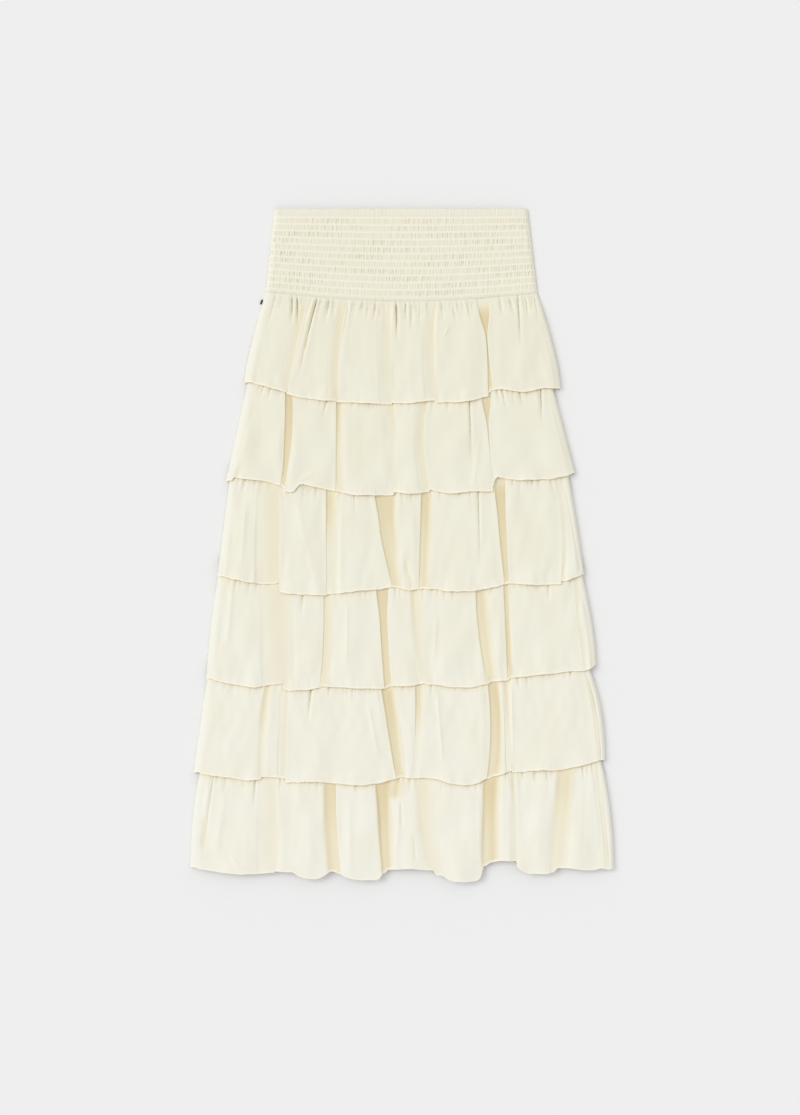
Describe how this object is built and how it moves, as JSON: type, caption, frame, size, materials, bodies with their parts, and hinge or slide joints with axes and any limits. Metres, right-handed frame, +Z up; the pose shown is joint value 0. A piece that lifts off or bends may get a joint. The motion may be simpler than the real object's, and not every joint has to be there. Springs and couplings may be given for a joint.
{
  "type": "tiered ruffle skirt",
  "caption": "Midi skirt laid flat: a wide shirred elastic waistband over gathered ruffle tiers, each hem hanging free over the seam of the next.",
  "frame": {"origin": "middle of the skirt's footprint, on the surface that it lies on", "axes": "+X to the right across the front as it faces the viewer, +Y from hem to waist, +Z up out of the front"},
  "size_m": [0.542, 0.86, 0.0131],
  "materials": {
    "crepe": "cream satin-backed crepe, soft sheen, fine crinkle along the folds",
    "shirred_band": "the same cream cloth, puckered between rows of elastic thread",
    "tab": "black woven tape, folded"
  },
  "bodies": {
    "root": {"waistband_front": "shirred_band", "waistband_back": "shirred_band", "tier_1_front": "crepe", "tier_2_front": "crepe", "tier_3_front": "crepe", "tier_4_front": "crepe", "tier_5_front": "crepe", "tier_6_front": "crepe", "tier_1_back": "crepe", "tier_2_back": "crepe", "tier_3_back": "crepe", "tier_4_back": "crepe", "tier_5_back": "crepe", "tier_6_back": "crepe", "side_tab": "tab"}
  },
  "joints": []
}
